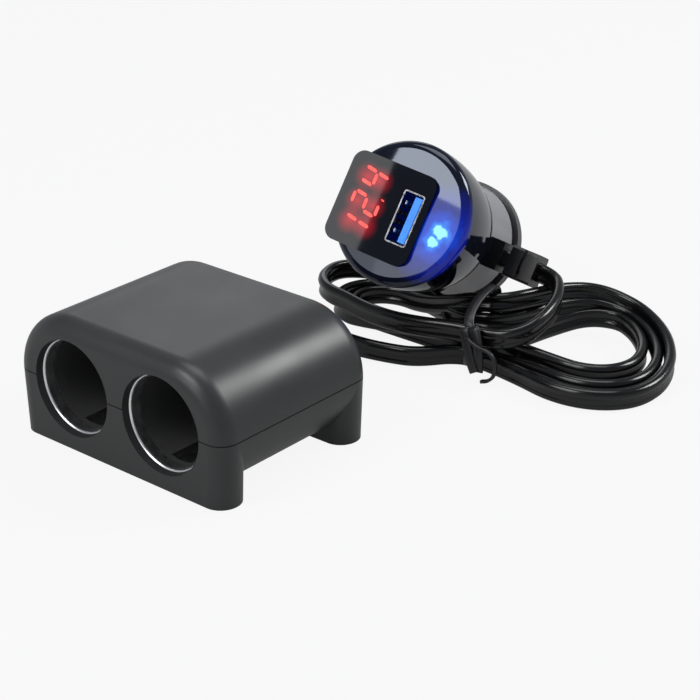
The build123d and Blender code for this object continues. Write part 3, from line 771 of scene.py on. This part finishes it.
# Neck sleeve: a silver flare over the neck ring, ending short of the collar, as (radius, station)
sleeve_outline = [
    (12.45, 24.1),
    (13.2, 24.1),
    (13.45, 24.4),
    (14.45, 37.4),
    (14.6, 37.9),
    (14.3, 38.5),
    (12.45, 38.5),
]
sleeve_steps = 96
sleeve_sharp = radians(35)
mesh = bmesh.new()
rings = []
for step in range(sleeve_steps):
    angle = 2 * pi * step / sleeve_steps
    ring = []
    for radius, station in sleeve_outline:
        point = plug_point(radius * cos(angle), radius * sin(angle), station)
        ring.append(mesh.verts.new(point * mm))
    rings.append(ring)
for step, one in enumerate(rings):
    two = rings[(step + 1) % sleeve_steps]
    for k in range(len(one)):
        n = (k + 1) % len(one)
        mesh.faces.new((one[k], one[n], two[n], two[k]))
sleeve = finish_mesh("neck_sleeve", mesh)
sleeve.data.set_sharp_from_angle(angle=sleeve_sharp)
dress(sleeve, neck_look)
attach(sleeve, body)

# Port springs: two tabs bent in from the shell's wall, as (across, station)
spring_wall = 0.3
spring_tip = 1.5
spring_width = 1.0
spring_thickness = 0.3
spring_places = (2.8, -4.3)
spring_line = [
    (spring_wall, 5.0),
    (spring_wall + 0.3, 3.2),
    (spring_tip, 0.9),
    (spring_tip - 0.2, 0.1),
    (spring_wall + 0.7, -0.3),
]
mesh = bmesh.new()
for y in spring_places:
    points = eased([plug_point(x, y, station) for x, station in spring_line])
    ribbon(mesh, points, plug_up, spring_width, spring_thickness)
springs = finish_mesh("usb_springs", mesh)
dress(springs, chrome_look)
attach(springs, body)

# Camera
camera_data = bpy.data.cameras.new("camera")
camera_data.lens = sensor_width * focal_pixels / picture_width
camera_data.sensor_width = sensor_width
camera_data.clip_start = nearest_seen
camera = bpy.data.objects.new("camera", camera_data)
camera.location = camera_place
camera.rotation_euler = (pi / 2 - camera_elevation, 0, camera_azimuth)
bpy.context.scene.collection.objects.link(camera)
bpy.context.scene.camera = camera


def seen_share(tree, camera_share, mirror_share):
    """How much of the white backdrop a ray sees, from the camera or by way of a mirror or glass."""
    rays = tree.nodes.new("ShaderNodeLightPath").outputs
    mirror = math_node(tree, "MAXIMUM", rays["Is Glossy Ray"], rays["Is Transmission Ray"])
    to_mirror = math_node(tree, "MULTIPLY", mirror, mirror_share)
    to_camera = math_node(tree, "MULTIPLY", rays["Is Camera Ray"], camera_share)
    return math_node(tree, "MAXIMUM", to_camera, to_mirror)


def blend(tree, share, plain, white, output):
    """Show the white one of two shaders by a share."""
    node = tree.nodes.new("ShaderNodeMixShader")
    tree.links.new(share, node.inputs["Fac"])
    tree.links.new(plain, node.inputs[1])
    tree.links.new(white, node.inputs[2])
    tree.links.new(node.outputs["Shader"], tree.nodes[output].inputs["Surface"])


# Floor, pale to the camera and in part to mirrors, with the shadow kept
floor_half = 3.0
floor_camera_share = 0.9
floor_mirror_share = 0.25
floor_corners = [(-1, -1), (1, -1), (1, 1), (-1, 1)]
mesh = bmesh.new()
mesh.faces.new([mesh.verts.new((x * floor_half, y * floor_half, 0)) for x, y in floor_corners])
floor = finish_mesh("floor", mesh, False)
floor_look = Look("floor_white")
floor_look.set(Base_Color=(*grey(0.42), 1), Roughness=0.8, Specular_IOR_Level=0.0)
floor_white = floor_look.nodes.new("ShaderNodeEmission")
blend(
    floor_look.tree,
    seen_share(floor_look.tree, floor_camera_share, floor_mirror_share),
    floor_look.shader.outputs["BSDF"],
    floor_white.outputs["Emission"],
    "Material Output",
)
dress(floor, floor_look.material)

# World: white to the camera, and low down in part to mirrors too, with a dim even studio above
ambient_colour = (0.82, 0.9, 1.0, 1)
ambient_strength = 0.22
backdrop_low = 0.22
backdrop_high = 0.46
backdrop_mirror_share = 0.25
world = bpy.data.worlds.new("studio")
bpy.context.scene.world = world
world.use_nodes = True
nodes = world.node_tree.nodes
links = world.node_tree.links
ambient = nodes["Background"]
ambient.inputs["Color"].default_value = ambient_colour
ambient.inputs["Strength"].default_value = ambient_strength
backdrop = nodes.new("ShaderNodeBackground")
backdrop.inputs["Color"].default_value = (1, 1, 1, 1)
way = nodes.new("ShaderNodeTexCoord")
split = nodes.new("ShaderNodeSeparateXYZ")
fade = nodes.new("ShaderNodeMapRange")
fade.inputs["From Min"].default_value = backdrop_low
fade.inputs["From Max"].default_value = backdrop_high
fade.inputs["To Min"].default_value = backdrop_mirror_share
fade.inputs["To Max"].default_value = 0.0
links.new(way.outputs["Generated"], split.inputs["Vector"])
links.new(split.outputs["Z"], fade.inputs["Value"])
blend(
    world.node_tree,
    seen_share(world.node_tree, 1.0, fade.outputs["Result"]),
    ambient.outputs["Background"],
    backdrop.outputs["Background"],
    "World Output",
)


def softbox(name, target, way, distance, across, upright, radiance, up=(0, 0, 1)):
    """A rectangular lamp seen from a point in a given direction, between limits across and upright."""
    back = Vector(way).normalized()
    side = Vector(up).cross(back).normalized()
    rise = back.cross(side)
    lamp = bpy.data.lights.new(name, "AREA")
    lamp.shape = "RECTANGLE"
    lamp.size = across[1] - across[0]
    lamp.size_y = upright[1] - upright[0]
    lamp.energy = radiance * pi * lamp.size * lamp.size_y
    obj = bpy.data.objects.new(name, lamp)
    obj.matrix_world = Matrix((side, rise, back)).transposed().to_4x4()
    obj.location = Vector(target) + distance * back + sum(across) / 2 * side + sum(upright) / 2 * rise
    bpy.context.scene.collection.objects.link(obj)


# Front softboxes in one plane, with a gap that the window's mirror shows beside the left one's edge
window_edge = plug_point(-5.65, -0.83, window_front) * mm
edge_way = (-0.2907, -0.8097, 0.5097)
front_distance = 0.6
front_boxes = {
    "left": {"across": (-0.10, 0.0), "upright": (-0.18, 0.06), "radiance": 2.0},
    "over": {"across": (-0.07, 0.22), "upright": (0.075, 0.21), "radiance": 9.0},
    "right": {"across": (0.06, 0.24), "upright": (-0.06, 0.075), "radiance": 2.3},
    "under": {"across": (0.0, 0.24), "upright": (-0.20, -0.06), "radiance": 3.0},
}
for name, box in front_boxes.items():
    softbox(name, window_edge, edge_way, front_distance, up=plug_up, **box)

# Softboxes over and behind the part, seen from its middle
middle = (0.015, 0.04, 0.03)
studio_boxes = {
    "top": {
        "way": (-0.10, 0.10, 0.99),
        "distance": 0.75,
        "across": (-0.25, 0.25),
        "upright": (-0.2, 0.2),
        "radiance": 3.0,
    },
    "shoulder": {
        "way": (0.47, 0.63, 0.62),
        "distance": 0.80,
        "across": (-0.14, 0.14),
        "upright": (-0.14, 0.14),
        "radiance": 14.0,
    },
    "sheen": {
        "way": (-0.64, 0.66, 0.40),
        "distance": 0.90,
        "across": (-0.2, 0.2),
        "upright": (-0.15, 0.15),
        "radiance": 1.1,
    },
}
for name, box in studio_boxes.items():
    softbox(name, middle, **box)

scene = bpy.context.scene
scene.view_settings.view_transform = "Standard"

bpy.context.view_layer.update()
